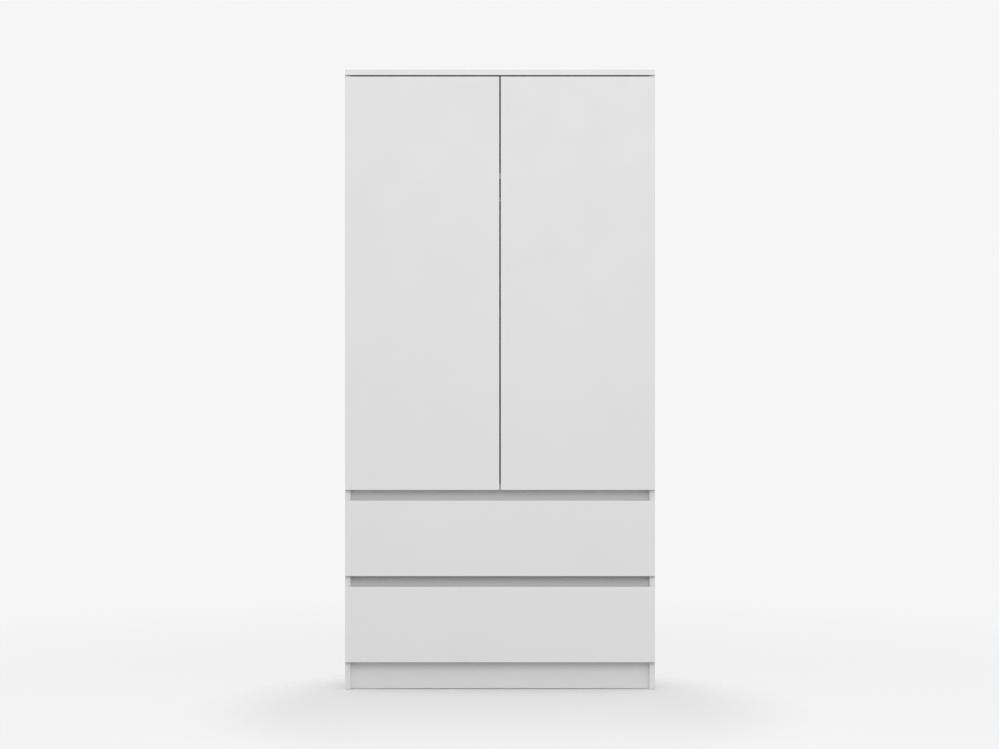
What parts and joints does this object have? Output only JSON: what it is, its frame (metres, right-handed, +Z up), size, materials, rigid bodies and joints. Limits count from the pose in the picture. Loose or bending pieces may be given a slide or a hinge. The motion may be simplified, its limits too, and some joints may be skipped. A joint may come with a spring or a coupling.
{
  "type": "wardrobe with doors",
  "caption": "Flat-pack wardrobe with overlay doors on cup hinges above full-width roller-runner drawers, finger grooves instead of handles, recessed kickboard.",
  "frame": {"origin": "on the floor under the middle of the body", "axes": "X across the width, the doors face -Y, Z up"},
  "size_m": [0.9, 0.51, 1.8],
  "materials": {
    "body_melamine": "satin white melamine-faced chipboard",
    "front_melamine": "satin white melamine-faced chipboard",
    "drawer_melamine": "white foil-wrapped board",
    "white_hdf": "hardboard, white lacquer on one side",
    "white_plastic": "white extruded plastic",
    "chromed_tube": "polished chrome",
    "zinc_cast": "die-cast zinc, dull",
    "zinc_steel": "bright zinc plating",
    "nickel_steel": "nickel-plated",
    "galvanised_steel": "galvanised",
    "beech": "raw beech",
    "white_coated_steel": "white powder coat",
    "nylon": "natural nylon",
    "glide_plastic": "grey plastic",
    "clear_bumper": "clear elastomer"
  },
  "bodies": {
    "carcass": {"back_joint_strip": "white_plastic", "back_nails": "zinc_steel", "back_panel_left": "white_hdf", "back_panel_right": "white_hdf", "body_runners_lower": "white_coated_steel", "body_runners_upper": "white_coated_steel", "body_screws": "zinc_steel", "bottom_panel": "body_melamine", "cam_bolts": "zinc_steel", "cam_locks": "zinc_cast", "floor_glides": "glide_plastic", "grip_rail_lower": "body_melamine", "grip_rail_upper": "body_melamine", "hanging_rail": "chromed_tube", "hanging_rail_sockets": "zinc_cast", "hat_shelf": "body_melamine", "hinge_adjusting_screws": "nickel_steel", "hinge_arms": "nickel_steel", "hinge_plate_screws": "zinc_steel", "hinge_plates": "nickel_steel", "kickboard": "body_melamine", "middle_shelf": "body_melamine", "shelf_supports": "nickel_steel", "side_panel_left": "body_melamine", "side_panel_right": "body_melamine", "top_panel": "body_melamine", "wall_brackets": "galvanised_steel", "wooden_dowels": "beech"},
    "door_left": {"door_bumpers_left": "clear_bumper", "door_left": "front_melamine", "hinge_cup_screws_left": "zinc_steel", "hinge_cups_left": "nickel_steel", "hinge_pins_left": "nickel_steel"},
    "door_right": {"door_bumpers_right": "clear_bumper", "door_right": "front_melamine", "hinge_cup_screws_right": "zinc_steel", "hinge_cups_right": "nickel_steel", "hinge_pins_right": "nickel_steel"},
    "drawer_upper": {"drawer_back_upper": "drawer_melamine", "drawer_bottom_upper": "white_hdf", "drawer_cam_bolts_upper": "zinc_steel", "drawer_cam_locks_upper": "zinc_cast", "drawer_front_upper": "front_melamine", "drawer_runners_upper": "white_coated_steel", "drawer_screws_upper": "zinc_steel", "drawer_side_left_upper": "drawer_melamine", "drawer_side_right_upper": "drawer_melamine"},
    "drawer_lower": {"drawer_back_lower": "drawer_melamine", "drawer_bottom_lower": "white_hdf", "drawer_cam_bolts_lower": "zinc_steel", "drawer_cam_locks_lower": "zinc_cast", "drawer_front_lower": "front_melamine", "drawer_runners_lower": "white_coated_steel", "drawer_screws_lower": "zinc_steel", "drawer_side_left_lower": "drawer_melamine", "drawer_side_right_lower": "drawer_melamine"},
    "front_rollers_lower_pair": {"front_rollers_lower": "nylon"},
    "front_rollers_upper_pair": {"front_rollers_upper": "nylon"},
    "rear_rollers_lower_pair": {"rear_rollers_lower": "nylon"},
    "rear_rollers_upper_pair": {"rear_rollers_upper": "nylon"}
  },
  "joints": [
    {"name": "door_left_hinge", "type": "hinge", "parent": "carcass", "child": "door_left", "pos_m": [-0.4415, -0.248, 1.18], "axis": [0, 0, -1], "range_deg": [0, 100]},
    {"name": "door_right_hinge", "type": "hinge", "parent": "carcass", "child": "door_right", "pos_m": [0.4415, -0.248, 1.18], "axis": [0, 0, 1], "range_deg": [0, 100]},
    {"name": "drawer_upper_slide", "type": "slide", "parent": "carcass", "child": "drawer_upper", "axis": [0, -1, 0], "range_m": [0, 0.35]},
    {"name": "drawer_lower_slide", "type": "slide", "parent": "carcass", "child": "drawer_lower", "axis": [0, -1, 0], "range_m": [0, 0.35]},
    {"name": "front_rollers_upper_spin", "type": "hinge", "parent": "carcass", "child": "front_rollers_upper_pair", "pos_m": [0, -0.215, 0.3675], "axis": [1, 0, 0], "range_deg": [0, 2240]},
    {"name": "rear_rollers_upper_spin", "type": "hinge", "parent": "drawer_upper", "child": "rear_rollers_upper_pair", "pos_m": [0, 0.193, 0.3675], "axis": [1, 0, 0], "range_deg": [0, 2240]},
    {"name": "front_rollers_lower_spin", "type": "hinge", "parent": "carcass", "child": "front_rollers_lower_pair", "pos_m": [0, -0.215, 0.1175], "axis": [1, 0, 0], "range_deg": [0, 2240]},
    {"name": "rear_rollers_lower_spin", "type": "hinge", "parent": "drawer_lower", "child": "rear_rollers_lower_pair", "pos_m": [0, 0.193, 0.1175], "axis": [1, 0, 0], "range_deg": [0, 2240]}
  ],
  "couplings": [
    {"joint": "front_rollers_upper_spin", "follows": "drawer_upper_slide", "rad_per_m": 111.11},
    {"joint": "rear_rollers_upper_spin", "follows": "drawer_upper_slide", "rad_per_m": 111.11},
    {"joint": "front_rollers_lower_spin", "follows": "drawer_lower_slide", "rad_per_m": 111.11},
    {"joint": "rear_rollers_lower_spin", "follows": "drawer_lower_slide", "rad_per_m": 111.11}
  ]
}
